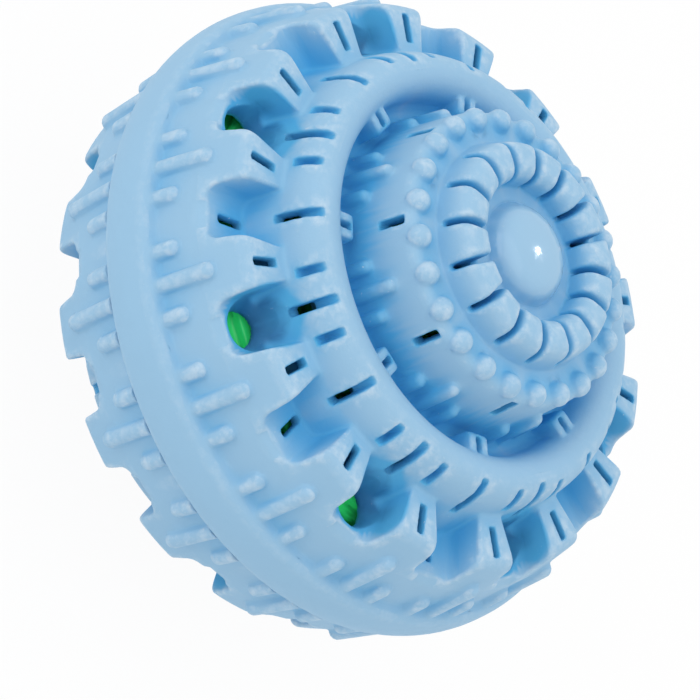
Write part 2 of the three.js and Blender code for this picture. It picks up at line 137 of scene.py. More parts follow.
class ShellSizes(PropertyGroup):
    """Sizes of a half shell, as radii from the axis and heights above the belt's middle plane."""

    half_height: length("Half height", "Height of the finger ring's crest", 39.6)
    button_radius: length("Button radius", "Radius of the centre button", 8.0)
    button_top: length("Button top", "Height of the centre button's top", 38.5)
    button_floor: length("Button groove", "Height of the groove round the button", 34.9)
    finger_inner: length("Finger ring inside", "Inner radius of the finger ring", 10.9)
    finger_outer: length("Finger ring outside", "Outer radius of the finger ring", 17.6)
    drum_top: length("Drum top", "Height of the drum's ledge", 34.0)
    drum_top_radius: length("Drum top radius", "Radius of the drum's upper edge", 23.2)
    drum_base_radius: length("Drum base radius", "Radius of the drum's foot", 24.5)
    valley_floor: length("Valley floor", "Height of the valley round the drum", 20.2)
    valley_radius: length("Valley radius", "Outer radius of the valley", 28.2)
    ring_crest: length("Outer ring crest", "Height of the outer ring", 26.7)
    ring_crest_radius: length("Outer ring crest radius", "Radius of the outer ring's crest", 32.5)
    ring_flank_radius: length("Outer ring flank", "Radius of the outer ring at the blocks' tops", 36.8)
    ring_base_radius: length("Outer ring base", "Radius of the outer ring at the notch floor", 38.6)
    block_top: length("Block top", "Height of the blocks", 20.4)
    block_radius: length("Block radius", "Radius of the blocks' outer ends", 44.3)
    notch_floor: length("Notch floor", "Height of the floor between the blocks", 14.0)
    notch_width: length("Notch width", "Width of the notches between the blocks", 8.8)
    rim_top_radius: length("Rim top radius", "Radius of the rim at the notch floor", 46.9)
    rim_base_radius: length("Rim base radius", "Radius of the rim just above the belt", 48.0)
    belt_radius: length("Belt radius", "Radius of the belt's edges", 49.7)
    belt_crown: length("Belt crown", "How far the belt's middle stands out past its edges", 1.15)
    belt_top: length("Belt top", "Height of the belt's upper edge", 5.2)
    seam: length("Seam depth", "Depth of the belt's lower edge below the middle plane", 4.2)
    wall: length("Wall", "Thickness of the moulded wall", 2.4)
    slot_width: length("Slot width", "Width of the slots", 1.3)
    rib_radius: length("Rim rib radius", "Radius of the round ribs on the rim", 1.42)
    rib_sunk: length("Rim rib depth", "How deep the ribs' middle lies in the rim", -0.05)
    bump_radius: length("Bump radius", "Radius of the bumps on the drum's edge", 2.0)
    softness: length("Grain of the wedge", "Size of the cells that the wedge is softened with", 0.21)


class BasketSizes(PropertyGroup):
    """Sizes of a half basket."""

    radius: length("Basket radius", "Radius of the basket's wall at its rim", 41.0)
    height: length("Basket height", "Height of the basket's wall above the middle plane", 16.2)
    flange_radius: length("Flange radius", "Radius of the flange", 45.0)
    flange: length("Flange", "Thickness of the flange", 1.6)
    wall: length("Basket wall", "Thickness of the basket's wall", 1.6)
    rib: length("Basket rib", "How far the rings on the wall stand out", 0.8)
    slot_width: length("Basket slot", "Width of the slots in the basket's wall", 3.0)


class BeadSizes(PropertyGroup):
    """Size of the loose beads."""

    wobble: length("Bead wobble", "How far a bead is out of round", 0.09)


class Finishes(PropertyGroup):
    """Colours of the ball."""

    rubber: colour("Rubber", "Colour of the rubber on open surfaces", (0.32, 0.55, 0.76))
    # Painted shade: the deeper, bluer colour given to the rubber where nearby surfaces shut off the light
    rubber_painted_shade: colour("Rubber in hollows", "Colour of the rubber in its hollows", (0.085, 0.44, 0.76))
    basket: colour("Basket", "Colour of the basket", (0.03, 0.74, 0.18))
    bead_white: colour("White bead", "Colour of the white beads", (0.80, 0.77, 0.69))
    bead_beige: colour("Beige bead", "Colour of the beige beads", (0.58, 0.39, 0.20))
    bead_red: colour("Red bead", "Colour of the red beads", (0.38, 0.085, 0.045))
    bead_grey: colour("Grey bead", "Colour of the grey beads", (0.26, 0.27, 0.28))
    floor: colour("Floor", "Colour of the stage's floor", (0.95, 0.95, 0.95))


def in_millimetres(group):
    """The lengths of a property group as plain numbers in millimetres."""
    names = group.__annotations__.keys()
    return SimpleNamespace(**{name: round(getattr(group, name) / MM, 4) for name in names})


# Solids of the wedge


def curve(start, pull, end, steps=8):
    """Points of a smooth bend from start to end, pulled towards a third point."""
    a, b, c = Vector(start), Vector(pull), Vector(end)
    points = []
    for i in range(steps + 1):
        t = i / steps
        points.append(tuple(a * (1 - t) ** 2 + b * 2 * t * (1 - t) + c * t * t))
    return points


def face_of(bm, corners):
    return bm.faces.new([bm.verts.new(corner) for corner in corners])


def pushed(bm, face, step):
    """Extrude a face into a closed solid along a step."""
    geometry = [face] + list(face.edges) + list(face.verts)
    made = bmesh.ops.extrude_face_region(bm, geom=geometry)["geom"]
    moved = [v for v in made if isinstance(v, bmesh.types.BMVert)]
    bmesh.ops.translate(bm, verts=moved, vec=step)
    return moved + list(face.verts)


def turn(bm, verts, degrees):
    matrix = Matrix.Rotation(math.radians(degrees), 3, "Z")
    bmesh.ops.rotate(bm, verts=verts, cent=(0, 0, 0), matrix=matrix)


def add_slab(bm, outline, width, degrees):
    """A slab in the plane of radius and height, centred on a meridian."""
    face = face_of(bm, [(r, -width / 2, w) for r, w in outline])
    turn(bm, pushed(bm, face, (0, width, 0)), degrees)


def add_spoke(bm, outline, inner, outer, degrees):
    """A prism along a meridian, from an outline across it and up."""
    face = face_of(bm, [(inner, t, w) for t, w in outline])
    turn(bm, pushed(bm, face, (outer - inner, 0, 0)), degrees)


def add_turned_wedge(bm, outline):
    """A closed outline of radius and height, spun over the wedge and its margins."""
    face = face_of(bm, [(r, 0, w) for r, w in outline])
    turn(bm, face.verts, -WEDGE_MARGIN)
    sweep = WEDGE + 2 * WEDGE_MARGIN
    geometry = [face] + list(face.edges) + list(face.verts)
    bmesh.ops.spin(
        bm, geom=geometry, cent=(0, 0, 0), axis=(0, 0, 1),
        angle=math.radians(sweep), steps=round(sweep / SPIN_STEP),
    )


def add_turned_disc(bm, outline):
    """An open outline that starts and ends on the axis, spun all the way round."""
    verts = [bm.verts.new((r, 0, w)) for r, w in outline]
    edges = [bm.edges.new(pair) for pair in zip(verts, verts[1:])]
    bmesh.ops.spin(
        bm, geom=verts + edges, cent=(0, 0, 0), axis=(0, 0, 1),
        angle=2 * math.pi, steps=96, use_merge=True,
    )
    bmesh.ops.remove_doubles(bm, verts=bm.verts, dist=1e-4)


def solid(fill, *arguments):
    """A new bmesh that a function fills with closed solids, facing out."""
    bm = bmesh.new()
    fill(bm, *arguments)
    bmesh.ops.recalc_face_normals(bm, faces=bm.faces)
    return bm


def object_of(bm, name):
    mesh = bpy.data.meshes.new(name)
    bm.to_mesh(mesh)
    bm.free()
    obj = bpy.data.objects.new(name, mesh)
    bpy.context.scene.collection.objects.link(obj)
    return obj


def with_modifiers(obj):
    """The object's mesh with its modifiers applied, as a bmesh. The object is removed."""
    bpy.context.view_layer.update()
    graph = bpy.context.evaluated_depsgraph_get()
    mesh = bpy.data.meshes.new_from_object(obj.evaluated_get(graph))
    bm = bmesh.new()
    bm.from_mesh(mesh)
    bpy.data.meshes.remove(mesh)
    drop(obj)
    return bm


def drop(obj):
    mesh = obj.data
    bpy.data.objects.remove(obj)
    bpy.data.meshes.remove(mesh)


def cut(bm, cutter):
    """Take the solids of one bmesh out of another."""
    obj = object_of(bm, "uncut")
    tool = object_of(cutter, "cutter")
    boolean = obj.modifiers.new("Cut", "BOOLEAN")
    boolean.operation = "DIFFERENCE"
    boolean.solver = "MANIFOLD"
    boolean.object = tool
    result = with_modifiers(obj)
    drop(tool)
    if len(result.faces) == 0:
        raise RuntimeError("a cut left nothing of the solid")
    return result


def softened(parts, grain, rounds):
    """Join overlapping solids into one skin and round its edges, as moulded rubber is."""
    whole = bmesh.new()
    for part in parts:
        mesh = bpy.data.meshes.new("part")
        part.to_mesh(mesh)
        part.free()
        whole.from_mesh(mesh)
        bpy.data.meshes.remove(mesh)
    obj = object_of(whole, "unsoftened")
    remesh = obj.modifiers.new("Skin", "REMESH")
    remesh.mode = "VOXEL"
    remesh.voxel_size = grain
    smooth = obj.modifiers.new("Soften", "SMOOTH")
    smooth.factor = 0.5
    smooth.iterations = rounds
    return with_modifiers(obj)


def thinned(bm, triangles):
    """Fewer triangles, kept where the surface bends."""
    bmesh.ops.triangulate(bm, faces=bm.faces)
    share = min(1.0, triangles / len(bm.faces))
    obj = object_of(bm, "unthinned")
    decimate = obj.modifiers.new("Thin", "DECIMATE")
    decimate.ratio = share
    return with_modifiers(obj)


def filled_in(bm, longest):
    """Split long edges, so that broad faces can carry soft shading too."""
    for _ in range(3):
        edges = [e for e in bm.edges if e.calc_length() > longest]
        bmesh.ops.subdivide_edges(bm, edges=edges, cuts=1)
        bmesh.ops.triangulate(bm, faces=bm.faces)
    return bm


def mark_hollows(bm, rounds, reach):
    """Keep on each vertex how deep it lies in a hollow (1) or out on an edge (0)."""
    relaxed = bm.copy()
    for _ in range(rounds):
        bmesh.ops.smooth_vert(
            relaxed, verts=relaxed.verts, factor=0.5, use_axis_x=True, use_axis_y=True, use_axis_z=True
        )
    bm.normal_update()
    layer = bm.verts.layers.float.new("hollow")
    relaxed.verts.ensure_lookup_table()
    for i, vert in enumerate(bm.verts):
        depth = (relaxed.verts[i].co - vert.co).dot(vert.normal)
        vert[layer] = min(1.0, max(0.0, 0.5 + depth / reach))
    relaxed.free()


def trim(bm, level):
    """Cut away what lies below a level and close the cut, which leaves a crisp edge."""
    geometry = list(bm.verts) + list(bm.edges) + list(bm.faces)
    made = bmesh.ops.bisect_plane(
        bm, geom=geometry, dist=1e-5, plane_co=(0, 0, level), plane_no=(0, 0, -1), clear_outer=True
    )
    rim = [e for e in made["geom_cut"] if isinstance(e, bmesh.types.BMEdge)]
    bmesh.ops.holes_fill(bm, edges=rim)


def mark_shade(bm, reach, inner):
    """Keep on each vertex how much of its outlook nearby surfaces shut off, a solid inside the shell too."""
    whole = round_the_axis(bm.copy())
    trees = [BVHTree.FromBMesh(whole), BVHTree.FromBMesh(inner)]
    whole.free()
    inner.free()
    rays = []
    for i in range(RAYS):
        rise = math.sqrt((i + 0.5) / RAYS)
        flat = math.sqrt(1 - rise * rise)
        a = i * math.pi * (3 - math.sqrt(5))
        rays.append(Vector((flat * math.cos(a), flat * math.sin(a), rise)))
    layer = bm.verts.layers.float.new("shade")
    for vert in bm.verts:
        degrees = math.degrees(math.atan2(vert.co.y, vert.co.x))
        if not -1.5 < degrees < WEDGE + 1.5:
            continue
        frame_of = vert.normal.to_track_quat("Z", "Y")
        start = vert.co + vert.normal * 0.04
        shut = 0.0
        for ray in rays:
            way = frame_of @ ray
            near = reach
            for tree in trees:
                hit = tree.ray_cast(start, way, near)
                if hit[0] is not None:
                    near = hit[3]
            shut += 1.0 - near / reach
        vert[layer] = shut / RAYS
    for _ in range(4):
        even = []
        for vert in bm.verts:
            total = sum((e.other_vert(vert)[layer] for e in vert.link_edges), vert[layer])
            even.append(total / (len(vert.link_edges) + 1))
        for vert, value in zip(bm.verts, even):
            vert[layer] = value


def round_the_axis(bm):
    """Trim the wedge at its two mirror planes, then mirror it and repeat it round the axis."""
    end = math.radians(WEDGE)
    planes = [(0.0, -1.0, 0.0), (-math.sin(end), math.cos(end), 0.0)]
    for normal in planes:
        geometry = list(bm.verts) + list(bm.edges) + list(bm.faces)
        bmesh.ops.bisect_plane(
            bm, geom=geometry, dist=1e-5, plane_co=(0, 0, 0), plane_no=normal, clear_outer=True
        )
    half = list(bm.verts) + list(bm.edges) + list(bm.faces)
    bmesh.ops.mirror(bm, geom=half, matrix=Matrix.Identity(4), merge_dist=1e-4, axis="Y")
    wedge = list(bm.verts) + list(bm.edges) + list(bm.faces)
    for i in range(1, REPEATS):
        copy = bmesh.ops.duplicate(bm, geom=wedge)["geom"]
        turn(bm, [v for v in copy if isinstance(v, bmesh.types.BMVert)], i * 360 / REPEATS)
    bmesh.ops.remove_doubles(bm, verts=bm.verts, dist=1e-3)
    bmesh.ops.recalc_face_normals(bm, faces=bm.faces)
    return bm


# Half shell


def body_outline(s, foot):
    """Section of the half shell from the finger ring's foot out to the rim's foot, with its hollow."""
    outside = [(s.finger_inner - 0.8, s.drum_top - s.wall), (s.finger_inner - 0.8, s.button_floor)]
    outside += [(s.finger_inner + 2.0, s.button_floor), (s.finger_outer, s.drum_top)]
    outside += curve(
        (s.drum_top_radius - 1.4, s.drum_top),
        (s.drum_top_radius, s.drum_top),
        (s.drum_top_radius + 0.2, s.drum_top - 1.6),
    )
    outside += [(s.drum_base_radius, s.valley_floor + 1.2)]
    outside += [(s.drum_base_radius + 1.0, s.valley_floor), (s.valley_radius - 1.0, s.valley_floor)]
    outside += curve(
        (s.valley_radius, s.valley_floor + 1.2),
        (s.valley_radius + 0.4, s.ring_crest),
        (s.ring_crest_radius, s.ring_crest),
    )
    outside += curve(
        (s.ring_crest_radius, s.ring_crest),
        (s.ring_flank_radius - 1.0, s.ring_crest),
        (s.ring_flank_radius, s.block_top),
    )[1:]
    outside += [(s.ring_base_radius, s.notch_floor)]
    outside += curve(
        (s.rim_top_radius - 2.8, s.notch_floor),
        (s.rim_top_radius + 0.2, s.notch_floor),
        (s.rim_top_radius + 0.3, s.notch_floor - 3.0),
    )
    ceiling = s.notch_floor - 1.9
    cavity = s.rim_top_radius - s.wall
    inside = [
        (cavity, foot[-1][1]), (cavity, ceiling - 2.0), (cavity - 1.0, ceiling),
        (s.ring_base_radius, ceiling), (s.ring_base_radius - s.wall, ceiling + 1.8),
        (s.ring_flank_radius - s.wall, s.block_top), (s.ring_crest_radius, s.ring_crest - s.wall),
        (s.valley_radius + s.wall, s.valley_floor - s.wall),
        (s.drum_base_radius - s.wall, s.valley_floor - s.wall),
        (s.drum_top_radius - s.wall, s.drum_top - s.wall),
    ]
    return outside + foot + inside


def belt_at(s, w):
    """Radius of the crowned belt at a height, with a soft ridge along its front edge."""
    middle = (s.belt_top - s.seam) / 2
    half = (s.belt_top + s.seam) / 2
    ridge = 0.14 * math.exp(-(((w - s.belt_top + 1.5) / 1.0) ** 2))
    return s.belt_radius + s.belt_crown * (1.0 - ((w - middle) / half) ** 2) + ridge


def front_foot(s):
    """The rim's foot and the belt's rounded upper edge."""
    low = s.belt_top - 0.9
    top, side = s.belt_top, s.belt_radius
    edge = curve((side - 0.8, top), (side - 0.1, top), (belt_at(s, low), low), 4)
    return [(s.rim_base_radius, s.belt_top + 0.2)] + edge + [(belt_at(s, 3.0), 3.0)]


def rear_foot(s):
    """The rim's foot at the seam, just clear of the belt."""
    return [(s.rim_base_radius + 0.1, s.seam + 0.15)]


def front_lap(s):
    """The crowned belt, which reaches over the rear half, and the basket's seat behind it."""
    low = 0.15 - s.seam
    face = [(belt_at(s, w), w) for w in (4.3 - 0.3 * i for i in range(24))]
    edge = curve((belt_at(s, low + 0.8), low + 0.8), (s.belt_radius, low), (s.belt_radius - 0.8, low), 4)
    seat = [(BELT_BORE, low), (BELT_BORE, SEAT_LEVEL), (SEAT_RADIUS, SEAT_LEVEL), (44.5, SEAT_TOP)]
    return [(46.0, 4.3)] + face + edge + seat


def rear_lap(s):
    """The spigot inside the belt, and the basket's seat behind it."""
    spigot = [(SPIGOT_OUTER, s.seam + 0.8), (SPIGOT_OUTER, SPIGOT_END), (SPIGOT_INNER, SPIGOT_END)]
    seat = [(SPIGOT_INNER, SEAT_LEVEL), (SEAT_RADIUS, SEAT_LEVEL), (44.4, SEAT_TOP), (44.4, s.seam + 0.8)]
    return spigot + seat


def fill_button(bm, s):
    """A shallow dome with a soft shoulder and a skirt that runs out into the groove."""
    top, floor = s.button_top, s.button_floor
    outline = curve((0, top), (3.0, top), (4.7, top - 0.25), 6)
    outline += curve((4.7, top - 0.25), (6.9, top - 0.6), (s.button_radius - 0.3, top - 2.2), 8)[1:]
    side = s.button_radius
    outline += curve((side, top - 2.9), (side + 0.2, floor), (side + 1.3, floor), 5)
    outline += [(s.finger_inner, floor), (s.finger_inner, s.drum_top - s.wall), (0, s.drum_top - s.wall)]
    add_turned_disc(bm, outline)


def fill_fingers(bm, s):
    top = s.half_height
    middle = (s.finger_inner + s.finger_outer) / 2
    outline = [(s.finger_outer + 0.4, s.drum_top - 1.0), (s.finger_outer + 0.3, s.drum_top + 0.3)]
    side = s.finger_outer
    outline += curve((side - 0.2, s.drum_top + 2.4), (side - 0.6, top), (middle + 0.4, top))
    outline += curve((middle - 0.5, top), (s.finger_inner + 0.2, top), (s.finger_inner, s.drum_top + 2.4))
    outline += [(s.finger_inner, s.drum_top - 1.0)]
    add_turned_wedge(bm, outline)


def fill_finger_gaps(bm, s):
    """Narrow gaps that open wider between the fingers' round shoulders."""
    top = s.half_height
    side = [(0.42, s.button_floor - 0.1), (0.46, top - 1.4), (0.58, top - 0.7)]
    side += [(0.85, top - 0.1), (1.15, top + 0.6)]
    flare = side + [(-t, w) for t, w in reversed(side)]
    for degrees in (WINDOW, CLOSED):
        add_spoke(bm, flare, s.finger_inner - 1.2, s.finger_outer + 1.2, degrees)


def fill_crown(bm, s):
    outline = [(s.ring_flank_radius - 0.8, s.block_top)]
    outline += curve(
        (s.block_radius - 1.2, s.block_top),
        (s.block_radius + 0.4, s.block_top),
        (s.block_radius + 1.1, s.block_top - 1.5),
        5,
    )
    outline += [(s.rim_top_radius + 0.2, s.notch_floor - 1.4), (s.rim_top_radius - 0.8, s.notch_floor - 2.4)]
    outline += [(s.ring_base_radius - 0.8, s.notch_floor - 0.8)]
    add_turned_wedge(bm, outline)


def fill_notches(bm, s):
    """Notches between the blocks, with round corners along the floor and sides that lean out."""
    half = s.notch_width / 2 - 0.2
    right = curve((half - 2.0, s.notch_floor), (half, s.notch_floor), (half + 0.1, s.notch_floor + 2.0), 6)
    right += [(half + 0.6, s.block_top + 2)]
    outline = right + [(-t, w) for t, w in reversed(right)]
    for degrees in (WINDOW, CLOSED):
        add_spoke(bm, outline, s.valley_radius, s.belt_radius + 2, degrees)
        below = [(-half + 1.9, s.notch_floor - 6), (half - 1.9, s.notch_floor - 6)]
        below += [(half - 1.9, s.notch_floor - 0.05), (-half + 1.9, s.notch_floor - 0.05)]
        add_spoke(bm, below, s.ring_base_radius - 2, s.belt_radius + 2, degrees)


def fill_window_bowls(bm, s, wall):
    """A round bowl in the floor of a window. With a wall, the cup that carries it."""
    bmesh.ops.create_uvsphere(bm, u_segments=48, v_segments=32, radius=1.0)
    for vert in bm.verts:
        stretch = BOWL_REACH_OUT if vert.co.x > 0 else BOWL_REACH_IN
        x, y, z = vert.co
        vert.co = Vector((x * (stretch + wall), y * (BOWL_REACH_ACROSS + wall), z * (BOWL_DEPTH + wall)))
    middle = (s.ring_base_radius + BOWL_OUT, 0, s.notch_floor + BOWL_UP)
    bmesh.ops.translate(bm, verts=bm.verts, vec=middle)
    if wall > 0:
        geometry = list(bm.verts) + list(bm.edges) + list(bm.faces)
        level = (0, 0, s.notch_floor - 0.5)
        made = bmesh.ops.bisect_plane(
            bm, geom=geometry, dist=1e-5, plane_co=level, plane_no=(0, 0, 1), clear_outer=True
        )
        lip = [e for e in made["geom_cut"] if isinstance(e, bmesh.types.BMEdge)]
        bmesh.ops.holes_fill(bm, edges=lip)


def tune_shade(bm, s):
    """Less shade on the rim, the outer ring's inside and in the finger gaps, more in the window bowls."""
    layer = bm.verts.layers.float["shade"]
    for vert in bm.verts:
        radius = vert.co.xy.length
        if radius > s.rim_top_radius - 1.0:
            vert[layer] *= RIM_SHADE
        elif s.drum_base_radius < radius < s.ring_crest_radius and vert.co.z > s.valley_floor - 1.0:
            vert[layer] *= 1.0 - RING_INSIDE_EASE * min(1.0, (radius - s.drum_base_radius) / 3.5)
        else:
            away = min(1.0, max(0.0, (radius - s.finger_outer) / 4.0))
            vert[layer] *= FINGER_SHADE + (1.0 - FINGER_SHADE) * away
        out = (vert.co.x - s.ring_base_radius - BOWL_OUT) / BOWL_REACH_OUT
        up = (vert.co.z - s.notch_floor - BOWL_UP) / BOWL_DEPTH
        away = math.sqrt(out * out + (vert.co.y / BOWL_REACH_ACROSS) ** 2 + up * up)
        if vert.co.z > s.notch_floor - 4.0:
            reach = 1.14 + 0.34 * min(1.0, max(0.0, (vert.co.z - s.notch_floor) / 3.0))
            vert[layer] += BOWL_SHADE * min(1.0, max(0.0, (reach - away) / (reach - 0.98)))


def fill_window_holes(bm, s):
    """The round opening in a bowl's floor, up against the rim."""
    place = Matrix.Translation((s.ring_base_radius + 2.9, 0, s.notch_floor - 4.4))
    place = place @ Matrix.Diagonal((3.1, 2.9, 1.0, 1.0))
    bmesh.ops.create_cone(
        bm, cap_ends=True, segments=48, radius1=1.0, radius2=1.0, depth=7.0, matrix=place
    )


def fill_block_hollows(bm, s):
    """Each block is hollow from below, so that its slot opens into the ball."""
    outline = [(s.ring_base_radius + 0.2, s.notch_floor - 5), (s.block_radius - 0.9, s.notch_floor - 5)]
    outline += [(s.block_radius - 0.9, s.block_top - 2.0), (s.ring_base_radius - 0.4, s.block_top - 2.0)]
    add_slab(bm, outline, 4.6, BLOCK)


def add_bar(bm, radius, middle, low, high, lean, pivot, degrees):
    """A round bar with round ends, which leans in about a height as it rises."""
    made = bmesh.ops.create_uvsphere(bm, u_segments=24, v_segments=16, radius=radius)["verts"]
    for vert in made:
        lift = high - radius if vert.co.z > 0 else low + radius
        vert.co += Vector((middle, 0, lift))
    bmesh.ops.rotate(bm, verts=made, cent=(middle, 0, pivot), matrix=Matrix.Rotation(-lean, 3, "Y"))
    turn(bm, made, degrees)


def fill_rim_ribs(bm, s, low):
    lean = math.atan2(s.rim_base_radius - s.rim_top_radius, s.notch_floor - s.belt_top)
    middle = s.rim_base_radius - s.rib_sunk
    places = [(BLOCK, 10.3)]
    places += [(d, 4.6) for d in (BLOCK - 6.1, BLOCK + 6.1, -BLOCK + 6.1, CLOSED + BLOCK - 6.1)]
    for degrees, rise in places:
        add_bar(bm, s.rib_radius, middle, low, s.belt_top + rise, lean, s.belt_top, degrees)


def fill_drum_ribs(bm, s):
    lean = math.atan2(s.drum_base_radius - s.drum_top_radius, s.drum_top - s.valley_floor)
    middle = s.drum_base_radius + 0.4
    for degrees, rise in ((WINDOW, 9.4), (9.0, 5.8)):
        add_bar(bm, 1.15, middle, s.valley_floor - 1.5, s.valley_floor + rise, lean, s.valley_floor, degrees)


def fill_bosses(bm, s):
    inner = s.drum_base_radius + 1.4
    top = s.valley_floor + 5.0
    outline = [(inner, s.valley_floor - 0.8), (s.valley_radius + s.wall, s.valley_floor - 0.8)]
    outline += [(s.valley_radius + s.wall, top)]
    outline += curve((inner + 1.2, top), (inner, top), (inner, top - 1.2), 4)
    add_slab(bm, outline, 4.0, CLOSED)


def fill_boss_slots(bm, s):
    slot = [(s.drum_base_radius + 2.1, s.valley_floor + 0.6), (s.valley_radius + 1.4, s.valley_floor + 0.6)]
    slot += [(s.valley_radius + 1.4, s.valley_floor + 7), (s.drum_base_radius + 2.1, s.valley_floor + 7)]
    add_slab(bm, slot, 1.2, CLOSED)


def fill_bumps(bm, s):
    for degrees in (0.0, 15.0, 30.0):
        place = Matrix.Translation((s.drum_top_radius - 1.5, 0, s.drum_top - 0.2))
        place = Matrix.Rotation(math.radians(degrees), 4, "Z") @ place
        bmesh.ops.create_icosphere(bm, subdivisions=4, radius=s.bump_radius, matrix=place)


def ring_slot(s, low, start):
    """A cut into the outer ring, from a height on its flank up and over to a radius on its crest."""
    inner, outer = s.ring_flank_radius - 2.9, s.ring_flank_radius + 3.2
    outline = [(inner, low), (outer, low), (outer, s.ring_crest + 2.0), (start, s.ring_crest + 2.0)]
    return outline + [(start, s.ring_crest - 1.3), (inner, s.ring_crest - 3.6)]


def fill_slots(bm, s):
    """Slots through the outer ring's flank, in the blocks, the closed notches and the drum."""
    places = ((WINDOW, -1.4, 1.2), (CLOSED, -1.4, 1.2), (8.3, 1.2, 1.8), (-8.3, 1.2, 1.8))
    for degrees, low, start in places:
        add_slab(bm, ring_slot(s, s.block_top + low, s.ring_crest_radius + start), s.slot_width, degrees)
    cavity = s.rim_top_radius - s.wall
    block = (BLOCK, s.ring_base_radius + 0.2, s.block_radius - 0.8, s.notch_floor - 6.0)
    notch = (CLOSED, cavity - 5.6, cavity - 0.9, s.notch_floor - 6.0)
    for degrees, near, far, low in (block, notch):
        slot = [(near, low), (far, low), (far, s.block_top + 2), (near, s.block_top + 2)]
        add_slab(bm, slot, s.slot_width, degrees)
    foot = s.drum_top - 6.2
    drum = [(s.drum_top_radius - 3.6, foot), (s.drum_base_radius + 1.0, foot)]
    drum += [(s.drum_base_radius + 1.0, s.drum_top - 1.5), (s.drum_top_radius - 3.6, s.drum_top - 1.5)]
    add_slab(bm, drum, s.slot_width, CLOSED)


def fill_finger_slots(bm, s):
    """Openings in the floor of the gaps between the fingers."""
    near, far = s.finger_inner + 1.5, s.finger_outer - 1.2
    low, high = s.drum_top - 4, s.half_height - 2.6
    slot = [(near, low), (far, low), (far, high), (near, high)]
    for degrees in (WINDOW, CLOSED):
        add_slab(bm, slot, 0.7, degrees)


def half_shell(s, b, foot, lap, ribs):
    body = solid(add_turned_wedge, body_outline(s, foot))
    crown = cut(solid(fill_crown, s), solid(fill_notches, s))
    body = softened([body, crown, solid(fill_window_bowls, s, BOWL_WALL)], s.softness, 20)
    body = cut(body, solid(fill_window_bowls, s, 0.0))
    body = cut(body, solid(fill_window_holes, s))
    body = cut(body, solid(fill_block_hollows, s))
    body = cut(body, solid(fill_slots, s))
    fingers = cut(solid(fill_fingers, s), solid(fill_finger_gaps, s))
    fingers = softened([fingers], s.softness, 18)
    fingers = cut(fingers, solid(fill_finger_slots, s))
    body = cut(body, solid(fill_finger_slots, s))
    bosses = softened([solid(fill_bosses, s)], s.softness, 8)
    bosses = cut(bosses, solid(fill_boss_slots, s))
    parts = [body, fingers, bosses, ribs, solid(fill_drum_ribs, s)]
    parts += [solid(fill_bumps, s), solid(fill_button, s), solid(add_turned_wedge, lap)]
    wedge = softened(parts, s.softness, 8)
    mark_hollows(wedge, 16, 0.7)
    wedge = filled_in(thinned(wedge, WEDGE_TRIANGLES), LONGEST_EDGE)
    mark_shade(wedge, SHADE_REACH, solid(fill_basket, b))
    tune_shade(wedge, s)
    return round_the_axis(wedge)


def front_half(s, b):
    return half_shell(s, b, front_foot(s), front_lap(s), solid(fill_rim_ribs, s, s.belt_top - 1.0))


def rear_half(s, b):
    """The rear half's ribs run on to the seam and end there in a flat face."""
    ribs = solid(fill_rim_ribs, s, s.seam - 2.0)
    trim(ribs, s.seam + 0.2)
    return half_shell(s, b, rear_foot(s), rear_lap(s), ribs)


# Basket and beads


def basket_wall(b, offset, ring, steps):
    """Points of the basket's wall from its rim up towards the axis, with rings standing out of it."""
    points = []
    for i in range(steps + 1):
        a = 0.5 * math.pi * i / steps
        proud = offset + ring * (0.5 - 0.5 * math.cos(a * 44))
        r = (b.radius + proud) * math.cos(a) ** 0.625
        w = (b.height + proud) * math.sin(a) ** 0.625
        points.append((r, w))
    return [p for p in points if p[0] > 8.0]


def fill_basket(bm, b):
    outside = basket_wall(b, 0.0, b.rib, 160)
    inside = basket_wall(b, -b.wall, 0.0, 40)
    level = 0.15
    rim = [(b.radius - b.wall, level), (b.flange_radius, level), (b.flange_radius, level + b.flange)]
    rim += [(b.radius + 0.6, level + b.flange)]
    add_turned_wedge(bm, rim + outside[8:] + inside[1:][::-1])


def fill_basket_end(bm, b):
    edge = [(9.5, b.height - 0.25), (9.5, b.height - 1.75)]
    add_turned_disc(bm, [(0, b.height)] + edge + [(0, b.height - b.wall)])


def fill_basket_slots(bm, b):
    outline = [(13.0, 2.4), (24.0, 2.4), (24.0, b.height + 3), (13.0, b.height + 3)]
    add_slab(bm, outline, b.slot_width, WINDOW)


def half_basket(b, grain):
    wall = cut(solid(fill_basket, b), solid(fill_basket_slots, b))
    wedge = thinned(softened([wall, solid(fill_basket_end, b)], grain * 1.3, 3), BASKET_TRIANGLES)
    mark_hollows(wedge, 6, 0.5)
    # Painted glow: marks the basket's outside under a window's opening, which its finish lights up
    lit = wedge.verts.layers.float.new("lit")
    for vert in wedge.verts:
        beside = min(1.0, max(0.0, (4.4 - abs(vert.co.y)) / 1.0))
        out = min(1.0, max(0.0, (vert.co.xy.length - 36.6) / 1.0))
        vert[lit] = beside * out
    return round_the_axis(wedge)


def bead(centre, radius, wobble, seed):
    bm = bmesh.new()
    bmesh.ops.create_icosphere(bm, subdivisions=4, radius=radius)
    for vert in bm.verts:
        place = vert.co / radius * 1.3 + Vector((seed * 7.3, seed * 3.1, seed * 1.7))
        vert.co *= 1.0 + wobble / radius * noise.noise(place)
    bmesh.ops.translate(bm, verts=bm.verts, vec=centre)
    return bm


# Finishes


def new_material(name):
    material = bpy.data.materials.new(name)
    material.use_nodes = True
    nodes = material.node_tree.nodes
    nodes.clear()
    output = nodes.new("ShaderNodeOutputMaterial")
    shader = nodes.new("ShaderNodeBsdfPrincipled")
    material.node_tree.links.new(shader.outputs["BSDF"], output.inputs["Surface"])
    return material, shader


def node(material, kind, **settings):
    made = material.node_tree.nodes.new(kind)
    for name, value in settings.items():
        setattr(made, name, value)
    return made


def link(material, output, target):
    material.node_tree.links.new(output, target)


